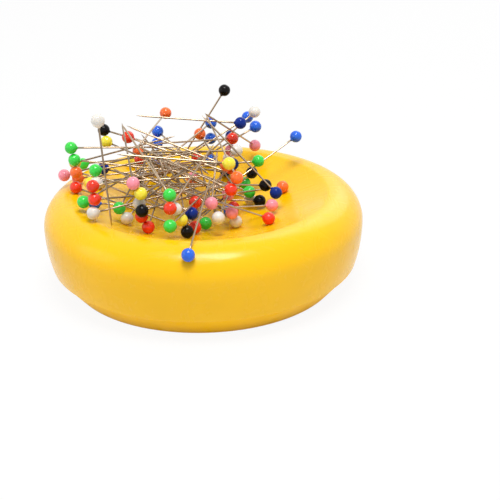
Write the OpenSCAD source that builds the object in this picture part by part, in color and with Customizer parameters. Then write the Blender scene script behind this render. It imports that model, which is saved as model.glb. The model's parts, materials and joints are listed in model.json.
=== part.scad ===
// Magnetic pin bowl: a round moulded bowl over a ring magnet, with a settled heap of ball-head pins.
// Origin: centre of the footprint, on the table. +Z is up, -Y is the front. Sizes in millimetres.

/* [Bowl] */
// Outer diameter at the widest part
bowl_d = 108; // [102:1:120]
// Height of the rim above the table
bowl_h = 31; // [30:0.5:36]
// Radius of the round from the outer wall over to the rim
rim_round = 9.5; // [7:0.5:11]
// Width of the flat land between that round and the dish
rim_land = 1.5; // [0.5:0.5:3]
// Radius that softens the edge of the dish
edge_round = 3; // [1:0.5:4]
// Depth of the dish below the rim
dish_depth = 9; // [7:0.5:10]
// Wall thickness of the shell
wall = 2.4; // [1.6:0.2:3]
// Height of the parting line above the table
split_z = 8; // [7:0.5:10]
// How far the parting line lies inside the widest part
split_inset = 2; // [1:0.5:3]

/* [Base cover] */
// How far the bottom edge lies inside the widest part
base_inset = 8.5; // [6:0.5:10]
// Floor and wall thickness of the cover
cover_t = 2.2; // [1.6:0.2:3]
// Step of the cover's top edge behind the shell's, which draws the parting line
split_step = 0.3; // [0.1:0.1:0.6]
// Height of the lip that locates the cover inside the shell
lip_h = 3; // [2:0.5:5]
// Thickness of that lip
lip_t = 1.6; // [1.2:0.2:2.4]
// Clearance between the lip and the shell
lip_gap = 0.2; // [0.1:0.05:0.4]

/* [Magnet] */
// Diameter of the ring magnet and its keeper plate
magnet_d = 60; // [50:1:62]
// Bore of the ring magnet
magnet_bore = 22; // [16:1:24]
// Thickness of the ring magnet
magnet_t = 7.4; // [6:0.2:8]
// Thickness of the steel keeper plate under the magnet
keeper_t = 1.2; // [0.8:0.1:2]
// Hole in the middle of the keeper plate
keeper_hole = 8; // [4:1:12]
// Radial clearance round the magnet
magnet_gap = 0.4; // [0.2:0.1:0.8]
// Height of the seat ribs under the lowest point of the dish
seat_rib = 0.8; // [0.4:0.2:1.6]
// Thickness of ribs and ring walls
rib_t = 1.8; // [1.2:0.2:2.4]

/* [Fasteners] */
// Number of screws, bosses and feet
screw_count = 4; // [3:1:6]
// Radius of the circle of screws
screw_circle = 39; // [38:0.5:40]
// Shank diameter of the self-tapping screws
screw_d = 2.6; // [2.2:0.1:3]
// Length of the shank under the head
screw_length = 12; // [8:1:14]
// Diameter of the pan head
screw_head_d = 5.2; // [4.6:0.1:5.6]
// Height of the pan head
screw_head_h = 1.8; // [1.4:0.1:2]
// Outer diameter of the shell's bosses
boss_d = 6.6; // [6:0.2:7]
// Diameter of the rubber feet
foot_d = 10; // [8:0.5:12]
// Thickness of the rubber feet
foot_t = 1.6; // [1.2:0.1:2]
// How far the feet stand out of the cover
foot_proud = 0.8; // [0.4:0.1:1]
// Radius of the circle of feet
foot_circle = 36; // [32:0.5:38]

/* [Pins] */
// Length from the middle of the head to the point
pin_length = 36; // [30:1:38]
// Diameter of the ball heads
head_d = 4.2; // [3.4:0.1:4.6]
// Diameter of the steel shafts
shaft_d = 0.6; // [0.5:0.05:0.7]
// Length of the ground point
point_length = 3; // [2:0.5:5]
// How far the shaft goes past the middle of the head
head_depth = 0.8; // [0.4:0.1:1.2]
// Gap left between one pin and the next
pin_gap = 0.03; // [0.02:0.01:0.1]

/* [Heap] */
// Number of pins in the settled heap
heap_count = 80; // [40:1:84]
// Middle of the heap, to the right of the bowl's middle, as a share of the dish's radius
heap_x = -0.186; // [-0.24:0.01:0.1]
// Middle of the heap, behind the bowl's middle, as a share of the dish's radius
heap_y = -0.047; // [-0.1:0.01:0.14]
// How far the shafts stray to either side of the heap's middle, as a share of the dish's radius
heap_stray = 0.419; // [0.24:0.01:0.46]
// How far the points lie past the heap's middle, as a share of the dish's radius
heap_slip = 0.302; // [0.18:0.01:0.42]
// How far the heap draws back from the free part of the dish, as a share of the dish's radius
free_part = 0.209; // [0:0.01:0.28]
// Direction of the free part of the dish
free_angle = -45; // [-180:5:180]
// Mean tilt of the pins, positive where the heads lie higher than the points
heap_tilt = -4; // [-10:1:10]
// How much the heads rise towards the back and fall towards the front
heap_lean = 12; // [0:1:20]
// Direction in which the heads lie highest
lean_angle = 130; // [-180:5:180]
// How much the tilt varies from pin to pin
heap_vary = 9; // [0:1:15]

/* [Hidden] */
$fn = 96;
eps = 0.01;

// Overrun of cuts, and how far the lip and the bosses start below the parting line
over = 1;
lip_root = 1;

// Turn of the first screw, the play round each screw, and the spare depth of its pilot hole
screw_turn = 45;
screw_clear = 0.4;
pilot_spare = 1;

// Cross recess of the screws: share of the head's width, slot width and depth
recess_share = 0.6;
recess_w = 0.7;
recess_depth = 0.45;

// Turn and steps from each pin of the heap to the next
golden_angle = 137.508;
slip_step = 0.5698;
stray_step = 0.7549;
tilt_step = 0.3247;

// Height difference that still counts as a touch, and the sine below which shafts count as parallel
touch = 0.001;
parallel = 0.0001;

bowl_r = bowl_d / 2;
rim_r = bowl_r - rim_round;
edge_r = rim_r - rim_land;
belly_z = bowl_h - rim_round;
belly_round = (pow(split_inset, 2) + pow(belly_z - split_z, 2)) / (2 * split_inset);
dish_floor = bowl_h - dish_depth;
dish_round = (pow(edge_r, 2) + pow(dish_depth, 2)) / (2 * dish_depth) - edge_round;
dish_mid = dish_floor + dish_round;
split_r = bowl_r - split_inset;
lip_r = sqrt(pow(belly_round - wall, 2) - pow(belly_z - split_z, 2)) + bowl_r - belly_round - lip_gap;

magnet_top = dish_floor - wall - seat_rib;
magnet_low = magnet_top - magnet_t;
keeper_low = magnet_low - keeper_t;
cup_r = magnet_d / 2 + magnet_gap;
cover_floor = foot_proud + cover_t;
boss_low = split_z - lip_root;
screw_seat = boss_low - cover_t;

head_r = head_d / 2;
shaft_r = shaft_d / 2;
low = -1000;

// Palette of the heads, and the order in which it runs through the heap
colours = ["red", "white", "green", "blue", "black", "pink", "yellow", "orange", "navy"];
shades = [
    "#e0301c", "#f1ece2", "#2fb84a", "#2457cf", "#0c0c0e", "#f2798d", "#ead43c", "#f0642a", "#17277e"];
colour_run = [0, 1, 4, 2, 7, 0, 3, 1, 5, 0, 2, 8, 6, 1, 4, 0, 7, 3, 1, 5, 2, 0, 8, 6, 4, 1, 5, 3, 2, 0, 7];

// Pins that lean in the heap: colour, point x and y as shares of the dish's radius, heading of the head, tilt
leaning = [
    [3, -0.314, 0.488, 20, 26],
    [3, -0.279, 0.395, 14, 26],
    [1, -0.186, 0.395, 24, 34],
    [3, 0.116, 0.14, 30, 24],
    [2, -0.372, 0.372, -5, 6],
    [0, 0.2, -0.12, 163, 16],
    [3, 0.065, -0.435, -103, -20],
    [5, 0.035, 0.2, 53, -34],
];

// Pins that come away one by one: name, colour, point x and y as shares of the dish's radius, heading of the
// head, tilt, and 1 if it lies on top
loose = [
    ["white_pin_upright", 1, -0.67, -0.7, -130, 85, 0],
    ["black_pin_top", 4, -0.256, 0.651, 10, 56, 0],
    ["pink_pin_left", 5, -0.291, 0.209, 180, -14, 0],
    ["yellow_pin_left", 6, -0.209, 0.407, 186, -12, 0],
    ["green_pin_left", 2, -0.163, 0.605, 177, -6, 0],
    ["yellow_pin_front", 6, -0.628, -0.372, -2, -6, 0],
    ["navy_pin_back", 8, -0.512, 0.372, 0, -6, 1],
    ["navy_pin_right", 8, 0.012, 0.163, -26, -42, 1],
];

function frac(x) = x - floor(x);
function heading(az, tilt) = [cos(tilt) * cos(az), cos(tilt) * sin(az), sin(tilt)];

// Height at which a ball of radius r rests on the bowl, q from its middle
function rest_z(q, r) =
    q < edge_r * (dish_round - r) / (dish_round + edge_round)
    ? dish_mid - sqrt(pow(dish_round - r, 2) - q * q)
    : q < edge_r ? bowl_h - edge_round + sqrt(pow(edge_round + r, 2) - pow(q - edge_r, 2))
    : q < rim_r ? bowl_h + r
    : q < bowl_r + r ? belly_z + sqrt(pow(rim_round + r, 2) - pow(q - rim_r, 2))
    : 0;

// Distance along a shaft at which it leaves a circle about the bowl's middle, or past its end
function leaves(a, u, circle_r) =
    let (b = a.x * u.x + a.y * u.y, k = u.x * u.x + u.y * u.y,
         c = a.x * a.x + a.y * a.y - circle_r * circle_r)
    c > 0 ? 2 * pin_length : (sqrt(b * b - k * c) - b) / k;

// Point height that keeps a shaft above the round edge at the circle, radius of the edge e. The shaft only
// meets the round where it would touch it between its own ends.
function edge_need(a, u, circle_r, e) =
    let (s = leaves(a, u, circle_r), flat = norm([u.x, u.y]), meets = s - (e + shaft_r) * u.z / flat)
    s > pin_length || meets < 0 || meets > pin_length ? low
    : bowl_h - e + (e + shaft_r) / flat + pin_gap - s * u.z;

// Point height that keeps a whole pin on the bowl
function bowl_need(a, u) = max(
    rest_z(norm(a), shaft_r) + pin_gap,
    rest_z(norm([a.x + pin_length * u.x, a.y + pin_length * u.y]), head_r) + pin_gap - pin_length * u.z,
    edge_need(a, u, edge_r, edge_round),
    edge_need(a, u, rim_r, rim_round));

// Where two pins meet as one of them moves up or down. Each function below gives the point heights, at most
// one, at which the new pin, with its point at a in plan and its heading u, just touches a part of an old
// pin: over it where side is 1, and under it where side is -1.

// A point at the offset d from a line's start, at the distance r from the line and abreast of it
function abreast(d, u, r, side) =
    let (b = d.x * u.x + d.y * u.y, k = 1 - u.z * u.z,
         q = pow(b * u.z, 2) - k * (d.x * d.x + d.y * d.y - b * b - r * r))
    q < 0 ? []
    : let (w = (b * u.z + side * sqrt(q)) / k, s = b + w * u.z)
      s < 0 || s > pin_length ? [] : [w];

// A ball at the distance s along the new pin, against an old shaft and against an old ball
function ball_on_shaft(a, u, s, old, r, side) =
    let (d = [a.x + s * u.x - old[0].x, a.y + s * u.y - old[0].y])
    [for (w = abreast(d, old[1], r, side)) old[0].z + w - s * u.z];
function ball_on_ball(a, u, s, q, r, side) =
    let (c = r * r - pow(a.x + s * u.x - q.x, 2) - pow(a.y + s * u.y - q.y, 2))
    c < 0 ? [] : [q.z + side * sqrt(c) - s * u.z];

// The new shaft against an old ball, and against an old shaft that it crosses
function shaft_on_ball(a, u, q, r, side) =
    [for (w = abreast([q.x - a.x, q.y - a.y], u, r, -side)) q.z - w];
function shaft_on_shaft(a, u, old, side) =
    let (v = old[1], n = cross(u, v))
    abs(n.z) < parallel ? []
    : let (off = n * (side * sign(n.z) * (shaft_d + pin_gap) / norm(n)),
           d = old[0] + off - [a.x, a.y, 0],
           s = (d.x * v.y - d.y * v.x) / n.z, t = (d.x * u.y - d.y * u.x) / n.z)
      s < 0 || s > pin_length || t < 0 || t > pin_length ? [] : [d.z + t * v.z - s * u.z];

// Every touch of a new pin with an old one, from one side
function touches(a, u, old, side) =
    let (head = old[0] + old[1] * pin_length, thin = shaft_d + pin_gap, thick = head_r + shaft_r + pin_gap)
    concat(
        shaft_on_shaft(a, u, old, side),
        ball_on_shaft(a, u, 0, old, thin, side),
        ball_on_shaft(a, u, pin_length, old, thick, side),
        shaft_on_ball(a, u, old[0], thin, side),
        shaft_on_ball(a, u, head, thick, side),
        ball_on_ball(a, u, 0, old[0], thin, side),
        ball_on_ball(a, u, 0, head, thick, side),
        ball_on_ball(a, u, pin_length, old[0], thick, side),
        ball_on_ball(a, u, pin_length, head, head_d + pin_gap, side));

// Heights from which an old pin keeps the new one out: [lowest, highest], or nothing if they pass in plan
function kept_out(a, u, old) =
    let (mid = old[0] + old[1] * pin_length / 2,
         far = norm([a.x + u.x * pin_length / 2 - mid.x, a.y + u.y * pin_length / 2 - mid.y]),
         over = far > pin_length + head_d ? [] : touches(a, u, old, 1))
    over == [] ? [] : [[min(touches(a, u, old, -1)), max(over)]];

// The lowest free height from h up
function free_height(h, spans) =
    let (hit = [for (s = spans) if (s[0] < h && h < s[1] - touch) s[1]])
    hit == [] ? h : free_height(max(hit), spans);

// A pin put at its lowest free height, or on top of all the others: [point, heading, colour]
function laid(spec, pins) =
    let (a = [spec[1], spec[2]] * edge_r, u = heading(spec[3], spec[4]), h = bowl_need(a, u),
         spans = [for (p = pins) each kept_out(a, u, p)])
    [[a.x, a.y, spec[5] == 1 ? max([h, each [for (s = spans) s[1]]]) : free_height(h, spans)], u, spec[0]];
function settled(specs, pins = [], i = 0) =
    i == len(specs) ? pins : settled(specs, concat(pins, [laid(specs[i], pins)]), i + 1);

// The heap turns by the golden angle, and its shafts stray, slip and tilt by steady irrational steps
heap_specs = [for (i = [0 : heap_count - 1])
    let (az = i * golden_angle,
         slip = heap_slip * frac(i * slip_step) + free_part * pow(max(0, cos(az - free_angle)), 2),
         stray = heap_stray * (2 * frac(i * stray_step) - 1))
    [colour_run[i % len(colour_run)],
     heap_x - slip * cos(az) - stray * sin(az),
     heap_y - slip * sin(az) + stray * cos(az), az,
     heap_tilt + heap_lean * cos(az - lean_angle) + heap_vary * (2 * frac(i * tilt_step) - 1)]];
loose_specs = [for (p = loose) [for (i = [1 : 6]) p[i]]];
pins = settled(concat(heap_specs, leaning, loose_specs));
first_loose = len(pins) - len(loose);

// Half section of the bowl, drawn in from its surface by the inset, from the height z up
module bowl_section(inset, z) {
    difference() {
        union() {
            translate([0, z]) square([rim_r, bowl_h - inset - z]);
            translate([rim_r, belly_z]) circle(rim_round - inset);
            intersection() {
                translate([bowl_r - belly_round, belly_z]) circle(belly_round - inset);
                translate([0, z]) square([bowl_r, belly_z - z]);
            }
        }
        translate([0, dish_mid]) circle(dish_round + inset);
        if (inset == 0) dish_edge();
        translate([-bowl_d, 0]) square([bowl_d, bowl_h]);
    }
}

// What the round at the dish's edge takes off the section
module dish_edge() {
    turn = asin(edge_r / (dish_round + edge_round));
    start = [edge_r - edge_round * sin(turn), bowl_h - edge_round + edge_round * cos(turn)];
    difference() {
        polygon([start, [edge_r, bowl_h - edge_round], [edge_r, bowl_h + over], [0, bowl_h + over],
                 [0, start.y]]);
        translate([edge_r, bowl_h - edge_round]) circle(edge_round);
    }
}

module ring_section(r, z0, z1) {
    translate([r, z0]) square([rib_t, z1 - z0]);
}

module around(count, r, turn = 0) {
    for (i = [0 : count - 1]) rotate(i * 360 / count + turn) translate([r, 0, 0]) children();
}

module bowl_shell() {
    color("#f4bd1c") difference() {
        union() {
            rotate_extrude() difference() {
                bowl_section(0, split_z);
                bowl_section(wall, split_z - over);
            }
            // Seat ribs and the cup wall round the magnet
            rotate_extrude() intersection() {
                bowl_section(wall / 2, magnet_low);
                union() {
                    ring_section(magnet_bore / 2 + rib_t, magnet_top, bowl_h);
                    ring_section(magnet_d / 2 - 2 * rib_t, magnet_top, bowl_h);
                    ring_section(cup_r, magnet_low, bowl_h);
                }
            }
            intersection() {
                around(screw_count, screw_circle, screw_turn)
                    translate([0, 0, boss_low]) cylinder(d = boss_d, h = bowl_h);
                rotate_extrude() bowl_section(wall / 2, boss_low);
            }
        }
        around(screw_count, screw_circle, screw_turn)
            translate([0, 0, boss_low - eps])
                cylinder(d = screw_d, h = screw_length - cover_t + pilot_spare, $fn = 32);
    }
}

module base_cover() {
    top_r = split_r - split_step;
    low_r = bowl_r - base_inset;
    color("#e3a81c") difference() {
        union() {
            rotate_extrude() {
                // Floor and tapered wall
                polygon([[0, foot_proud], [low_r, foot_proud], [top_r, split_z], [lip_r - lip_t, split_z],
                         [lip_r - lip_t, boss_low], [low_r - cover_t, cover_floor], [0, cover_floor]]);
                translate([lip_r - lip_t, boss_low]) square([lip_t, lip_h + lip_root]);
                // Ring that presses the keeper plate and the magnet up against the seat ribs
                ring_section(magnet_d / 2 - 2 * rib_t, cover_floor - eps, keeper_low);
            }
            around(screw_count, screw_circle, screw_turn)
                translate([0, 0, foot_proud]) cylinder(d = boss_d + rib_t, h = boss_low - foot_proud);
        }
        around(screw_count, screw_circle, screw_turn) {
            translate([0, 0, -eps])
                cylinder(d = screw_head_d + 2 * screw_clear, h = screw_seat + eps, $fn = 48);
            cylinder(d = screw_d + screw_clear, h = split_z, $fn = 32);
        }
        around(screw_count, foot_circle) cylinder(d = foot_d, h = foot_t);
    }
}

module ring_magnet() {
    color("#3a3a3d") translate([0, 0, magnet_low]) difference() {
        cylinder(d = magnet_d, h = magnet_t);
        translate([0, 0, -eps]) cylinder(d = magnet_bore, h = magnet_t + 2 * eps);
    }
}

module keeper_plate() {
    color("#9a9da2") translate([0, 0, keeper_low]) difference() {
        cylinder(d = magnet_d, h = keeper_t);
        translate([0, 0, -eps]) cylinder(d = keeper_hole, h = keeper_t + 2 * eps);
    }
}

module cover_screws() {
    slot = [screw_head_d * recess_share, recess_w, 2 * recess_depth];
    color("#b9bcc0") around(screw_count, screw_circle, screw_turn) difference() {
        union() {
            translate([0, 0, screw_seat - screw_head_h])
                cylinder(d = screw_head_d, h = screw_head_h, $fn = 48);
            translate([0, 0, screw_seat]) cylinder(d = screw_d, h = screw_length, $fn = 32);
        }
        for (turn = [0, 90])
            translate([0, 0, screw_seat - screw_head_h]) rotate(turn) cube(slot, center = true);
    }
}

module rubber_feet() {
    color("#2b2b2d") around(screw_count, foot_circle) cylinder(d = foot_d, h = foot_t);
}

// Carries a pin drawn along +Z, with the middle of its head at the origin, to its place
module placed(pin) {
    u = pin[1];
    translate(pin[0] + pin_length * u) rotate([0, acos(u.z), atan2(u.y, u.x)]) children();
}

module head(pin) {
    color(shades[pin[2]]) placed(pin) difference() {
        sphere(head_r, $fn = 40);
        translate([0, 0, -head_d]) cylinder(r = shaft_r, h = head_d + head_depth, $fn = 16);
    }
}

module shaft(pin) {
    color("#c9c4ba") placed(pin) {
        translate([0, 0, point_length - pin_length])
            cylinder(r = shaft_r, h = pin_length - point_length + head_depth, $fn = 16);
        translate([0, 0, -pin_length]) cylinder(r1 = shaft_r / 10, r2 = shaft_r, h = point_length, $fn = 16);
    }
}

bowl_shell();
base_cover();
ring_magnet();
keeper_plate();
cover_screws();
rubber_feet();
for (c = [0 : len(colours) - 1])
    for (i = [0 : first_loose - 1]) if (pins[i][2] == c) head(pins[i]);
for (i = [0 : first_loose - 1]) shaft(pins[i]);  // pin_shafts
for (i = [0 : len(loose) - 1]) {
    head(pins[first_loose + i]);
    shaft(pins[first_loose + i]);
}
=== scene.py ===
"""Looks of a magnetic pin bowl: a glossy moulded bowl, its fixings and a heap of ball-head pins."""

import json
import math

import bmesh
import bpy
import numpy as np
from bpy.props import FloatProperty, FloatVectorProperty, IntProperty, PointerProperty
from mathutils import Matrix, Vector


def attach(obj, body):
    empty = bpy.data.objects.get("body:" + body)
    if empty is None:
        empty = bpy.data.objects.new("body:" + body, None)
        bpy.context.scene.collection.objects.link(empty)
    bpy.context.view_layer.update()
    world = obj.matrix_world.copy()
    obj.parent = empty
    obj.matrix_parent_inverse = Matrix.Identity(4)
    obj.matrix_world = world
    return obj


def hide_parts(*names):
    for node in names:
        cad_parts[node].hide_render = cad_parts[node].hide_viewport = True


bl_info = {
    "name": "Magnetic pin bowl",
    "version": (1, 0, 0),
    "blender": (4, 5, 0),
    "location": "3D View > Sidebar > Pin bowl",
    "description": "Builds a magnetic pin bowl with its heap of ball-head pins",
    "category": "Object",
}

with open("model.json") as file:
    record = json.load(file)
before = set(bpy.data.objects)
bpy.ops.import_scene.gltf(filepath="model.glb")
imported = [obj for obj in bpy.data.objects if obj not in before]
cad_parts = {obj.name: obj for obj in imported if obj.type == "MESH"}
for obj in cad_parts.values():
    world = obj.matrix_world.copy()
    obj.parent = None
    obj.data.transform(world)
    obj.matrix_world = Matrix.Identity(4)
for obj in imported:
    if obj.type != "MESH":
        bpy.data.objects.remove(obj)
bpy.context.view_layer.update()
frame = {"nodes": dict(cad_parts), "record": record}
NODES = frame["nodes"]
BODIES = frame["record"]["behaviour"]["bodies"]
BOWL_BODY = "bowl"
HEAD_NODE = "pin_heads_"
HEAD_SLOT = "head_"
SINGLE_PINS = [body for body in BODIES if body != BOWL_BODY]
HEAD_COLOURS = [node[len(HEAD_NODE):] for node in BODIES[BOWL_BODY] if node.startswith(HEAD_NODE)]
SLOT_OF = {part["node"]: part["material_slot"] for part in frame["record"]["subparts"]}

# Metres within which corners count as one, in the nodes as read and in their copies
SAME_PLACE = 1e-7
MERGE = 1e-6

# Metres from a shaft's end within which corners are its end ring, and from the axis that count as on it
END_RING = 1e-5
ON_AXIS = 1e-9

# Farthest that a head may lie from the end of its own shaft, as a share of its radius
MATCH_SHARE = 0.2

# Vertical part of a pin's direction above which its sides are worked out from X and not from Z
STEEP = 0.9

# The pins' own map, and how far each pin's pattern is moved on from the last one's, round and along it
PIN_UV = "Along"
PATTERN_STEP = (0.37, 0.629)


# Reading the frame

def node_points(name):
    """Corner points of a CAD node and its triangles, with corners that share a place made one."""
    mesh = NODES[name].data
    points = np.empty(len(mesh.vertices) * 3)
    mesh.vertices.foreach_get("co", points)
    corners = np.empty(len(mesh.loops), dtype=np.int64)
    mesh.loops.foreach_get("vertex_index", corners)
    places = np.round(points.reshape(-1, 3) / SAME_PLACE).astype(np.int64)
    _, first, back = np.unique(places, axis=0, return_index=True, return_inverse=True)
    return points.reshape(-1, 3)[first], back.reshape(-1)[corners].reshape(-1, 3)


def islands(name):
    """Point sets of the separate solids of a node. The lowest corner number spreads over each solid."""
    points, triangles = node_points(name)
    label = np.arange(len(points))
    while True:
        lowest = label[triangles].min(axis=1)
        spread = label.copy()
        np.minimum.at(spread, triangles, lowest[:, None].repeat(3, axis=1))
        spread = spread[spread]
        if np.array_equal(spread, label):
            break
        label = spread
    return [points[label == each] for each in np.unique(label)]


def shaft_line(points):
    """Point and back end of a shaft: the middles of its two end rings, the thin ring first."""
    middle = points.mean(axis=0)
    main = np.linalg.svd(points - middle, full_matrices=False)[2][0]
    along = (points - middle) @ main
    ends = [points[along < along.min() + END_RING], points[along > along.max() - END_RING]]
    spans = [np.ptp(end, axis=0).max() for end in ends]
    order = [0, 1] if spans[0] < spans[1] else [1, 0]
    return [ends[i].mean(axis=0) for i in order]


def ball_middle(points):
    """Middle of a ball head, from its box."""
    return (points.min(axis=0) + points.max(axis=0)) / 2


def pin_lines(shaft_node):
    """Tips and back ends of every shaft in a node, as two arrays."""
    lines = np.array([shaft_line(points) for points in islands(shaft_node)])
    return lines[:, 0], lines[:, 1]


# Surfaces

def grid_faces(rows, columns, closed_rows=False):
    """Quads of a grid of rows by columns. Columns always close on themselves, rows do so if asked."""
    last = rows if closed_rows else rows - 1
    i, j = np.meshgrid(np.arange(last), np.arange(columns), indexing="ij")
    k, m = (i + 1) % rows, (j + 1) % columns
    quads = np.stack([i * columns + j, i * columns + m, k * columns + m, k * columns + j], axis=-1)
    return quads.reshape(-1, 4)


def pole_faces(rows, columns, low, high):
    """Triangles that close a grid: from its first row to the point low, from its last to the point high."""
    step, after = np.arange(columns), (np.arange(columns) + 1) % columns
    last = (rows - 1) * columns
    return np.concatenate([np.stack([0 * step + low, after, step], axis=1),
                           np.stack([0 * step + high, last + step, last + after], axis=1)])


def face_inwards(points, quads):
    """Whether quads face inwards, so that the volume summed from their corners isn't above zero."""
    first, second, third, fourth = (points[quads[:, corner]] for corner in range(4))
    volume = np.einsum("ij,ij->i", first, np.cross(second, third) + np.cross(third, fourth)).sum()
    return volume <= 0


def mesh_object(name, points, faces, uv=None):
    """A smooth mesh object at the origin from an array of points and a list of faces."""
    mesh = bpy.data.meshes.new(name)
    mesh.from_pydata(points.tolist(), [], [list(face) for face in faces])
    mesh.polygons.foreach_set("use_smooth", np.ones(len(mesh.polygons), dtype=bool))
    if uv is not None:
        layer = mesh.uv_layers.new(name=PIN_UV)
        corners = np.empty(len(mesh.loops), dtype=np.int64)
        mesh.loops.foreach_get("vertex_index", corners)
        layer.data.foreach_set("uv", uv[corners].astype(np.float32).ravel())
    mesh.validate()
    mesh.update()
    obj = bpy.data.objects.new(name, mesh)
    bpy.context.scene.collection.objects.link(obj)
    return obj


def turned(profile, steps):
    """A profile of radius and height turned about Z: x = r cos(t), y = r sin(t), z = h.
    A profile that starts and ends on the axis closes there in poles, and any other closes on itself."""
    profile = np.asarray(profile, dtype=float)
    angle = np.arange(steps) * 2 * math.pi / steps
    poles = profile[0, 0] < ON_AXIS and profile[-1, 0] < ON_AXIS
    body = profile[1:-1] if poles else profile
    radius, height = body[:, 0, None], body[:, 1, None]
    points = np.stack([radius * np.cos(angle), radius * np.sin(angle), height + 0 * angle], axis=-1)
    points = points.reshape(-1, 3)
    faces = grid_faces(len(body), steps, closed_rows=not poles).tolist()
    if poles:
        faces += pole_faces(len(body), steps, len(points), len(points) + 1).tolist()
        points = np.concatenate([points, [[0, 0, profile[0, 1]], [0, 0, profile[-1, 1]]]])
    return points, faces


def spun_along(starts, ways, lengths, radii, sides):
    """Many pins at once: a profile of length and radius, carried along each pin from its start.
    Point = start + way * length + radius * (cos(t) * side + sin(t) * other side). Both ends are closed."""
    ways = ways / np.linalg.norm(ways, axis=1, keepdims=True)
    steady = np.where(np.abs(ways[:, 2:3]) < STEEP, [[0.0, 0.0, 1.0]], [[1.0, 0.0, 0.0]])
    side = np.cross(ways, steady)
    side /= np.linalg.norm(side, axis=1, keepdims=True)
    other = np.cross(ways, side)
    angle = np.arange(sides) * 2 * math.pi / sides
    cosine, sine = np.cos(angle)[None, :, None], np.sin(angle)[None, :, None]
    ring = side[:, None, :] * cosine + other[:, None, :] * sine
    line = starts[:, None, :] + ways[:, None, :] * lengths[None, :, None]
    body = line[:, 1:-1, None, :] + ring[:, None, :, :] * radii[None, 1:-1, None, None]
    rows = len(lengths) - 2
    count = rows * sides
    points = np.concatenate([body.reshape(len(starts), count, 3), line[:, [0, -1], :]], axis=1)
    quads = grid_faces(rows, sides)
    poles = pole_faces(rows, sides, count, count + 1)
    offset = (np.arange(len(starts)) * (count + 2))[:, None, None]
    faces = [(quads[None] + offset).reshape(-1, 4), (poles[None] + offset).reshape(-1, 3)]
    around = np.concatenate([np.tile(np.arange(sides) / sides, rows), [0.5, 0.5]])
    down = np.concatenate([np.repeat(lengths[1:-1], sides), lengths[[0, -1]]])
    pin = np.arange(len(starts))[:, None]
    uv = np.stack([around + pin * PATTERN_STEP[0], down / lengths[-1] + pin * PATTERN_STEP[1]], axis=-1)
    uv = uv.reshape(-1, 2)
    points = points.reshape(-1, 3)
    one = points[:count + 2]
    if face_inwards(one - one.mean(axis=0), quads):
        faces = [face[:, ::-1] for face in faces]
    return points, faces[0].tolist() + faces[1].tolist(), uv


def bend(middle, radius, start, stop, count):
    """Points of an arc in the half section: middle + radius * (cos(t), sin(t)), with t from one angle in
    degrees to the other, ends included."""
    angle = np.radians(np.linspace(start, stop, count))
    return np.stack([middle[0] + radius * np.cos(angle), middle[1] + radius * np.sin(angle)], axis=1)


# Materials

# Where a noise mostly lies, and where in it a scuff starts and is full
NOISE_RANGE = (0.3, 0.7)
SCUFF_RANGE = (0.60, 0.70)

# How far red, green and blue go under the surface, as shares, in the bowl's plastic and in the heads'
BOWL_REACH = (1.0, 0.55, 0.15)
HEAD_REACH = (1.0, 0.8, 0.6)

# How much brighter red, green and blue are in the cooler clouds on zinc
COOLER = (1.08, 1.1, 1.2)

MICRON = 1e-6


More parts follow.
